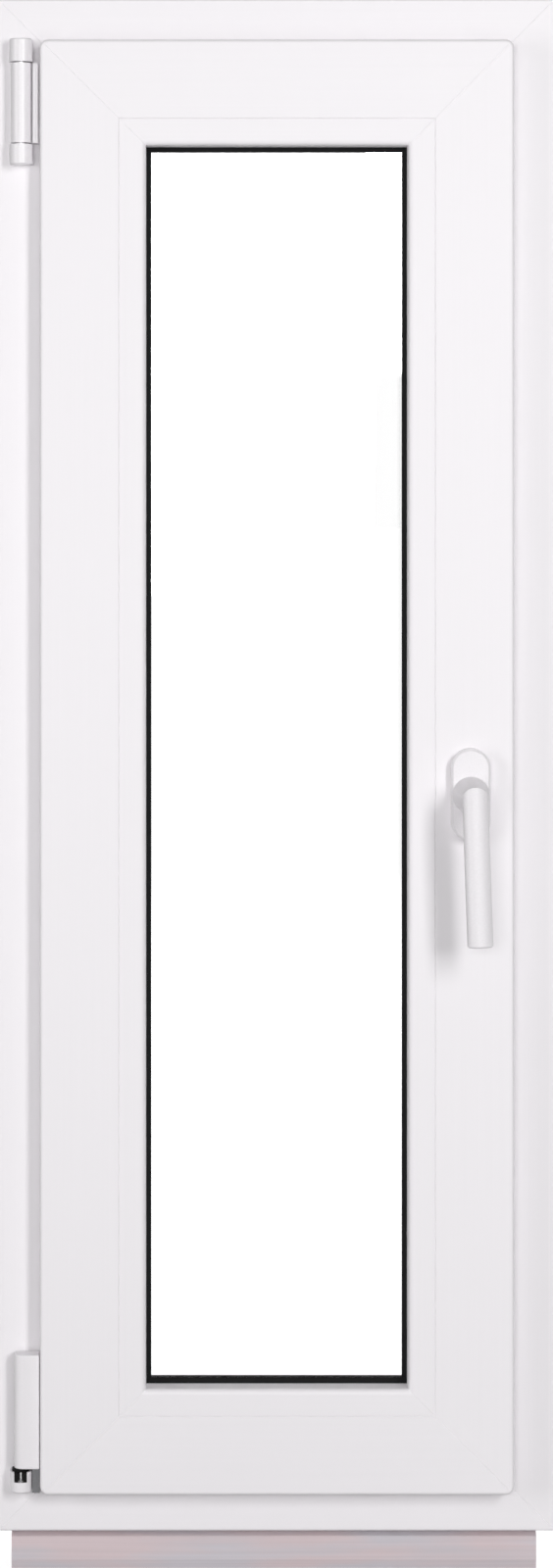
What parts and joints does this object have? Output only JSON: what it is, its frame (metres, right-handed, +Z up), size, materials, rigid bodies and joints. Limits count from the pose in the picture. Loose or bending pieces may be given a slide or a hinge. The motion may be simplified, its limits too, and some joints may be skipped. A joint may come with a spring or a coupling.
{
  "type": "pvc window",
  "caption": "Narrow white PVC tilt-and-turn window with mitred frame and sash, sealed glass, lever handle, exposed hinges and a sill connection profile under the frame.",
  "frame": {"origin": "on the window's centre line, in the plane of the sill profile's underside, mid depth of the frame", "axes": "+X across the window to the handle side seen from the room, +Y from the room to the outside, +Z up"},
  "size_m": [0.4, 0.1563, 1.13],
  "materials": {
    "white_pvc": "satin extruded white PVC",
    "sill_pvc": "matt grey-pink recycled PVC",
    "gasket_rubber": "matt black gasket",
    "spacer": "matt black warm edge spacer",
    "clear_glass": "clear float glass",
    "white_handle": "satin white powder coat",
    "white_hinge_plastic": "satin white moulded cap",
    "black_plastic": "matt black moulding",
    "zinc_steel": "zinc plated steel",
    "pin_steel": "bright steel"
  },
  "bodies": {
    "window": {"frame_head": "white_pvc", "frame_bottom_rail": "white_pvc", "frame_hinge_jamb": "white_pvc", "frame_handle_jamb": "white_pvc", "drain_caps": "white_pvc", "sill_profile": "sill_pvc", "frame_stop_gasket": "gasket_rubber", "sash_top_rail": "white_pvc", "sash_bottom_rail": "white_pvc", "sash_hinge_stile": "white_pvc", "sash_handle_stile": "white_pvc", "sash_overlap_gasket": "gasket_rubber", "bead_top": "white_pvc", "bead_bottom": "white_pvc", "bead_hinge_side": "white_pvc", "bead_handle_side": "white_pvc", "glazing_gasket_inside": "gasket_rubber", "glazing_gasket_outside": "gasket_rubber", "glass_inner_pane": "clear_glass", "glass_middle_pane": "clear_glass", "glass_outer_pane": "clear_glass", "glass_inner_spacer": "spacer", "glass_outer_spacer": "spacer", "handle_rosette": "white_handle", "upper_hinge_bracket": "white_hinge_plastic", "upper_hinge_barrel": "white_hinge_plastic", "upper_hinge_pin": "pin_steel", "lower_hinge_bearing": "white_hinge_plastic", "lower_hinge_insert": "black_plastic", "lower_hinge_pin": "pin_steel", "lower_hinge_strap": "zinc_steel", "lower_hinge_cover": "white_hinge_plastic"},
    "handle": {"handle_grip": "white_handle"}
  },
  "joints": [
    {"name": "handle_turn", "type": "hinge", "parent": "window", "child": "handle", "pos_m": [0.1375, -0.056, 0.561], "axis": [0, 1, 0], "range_deg": [0, 180]}
  ]
}
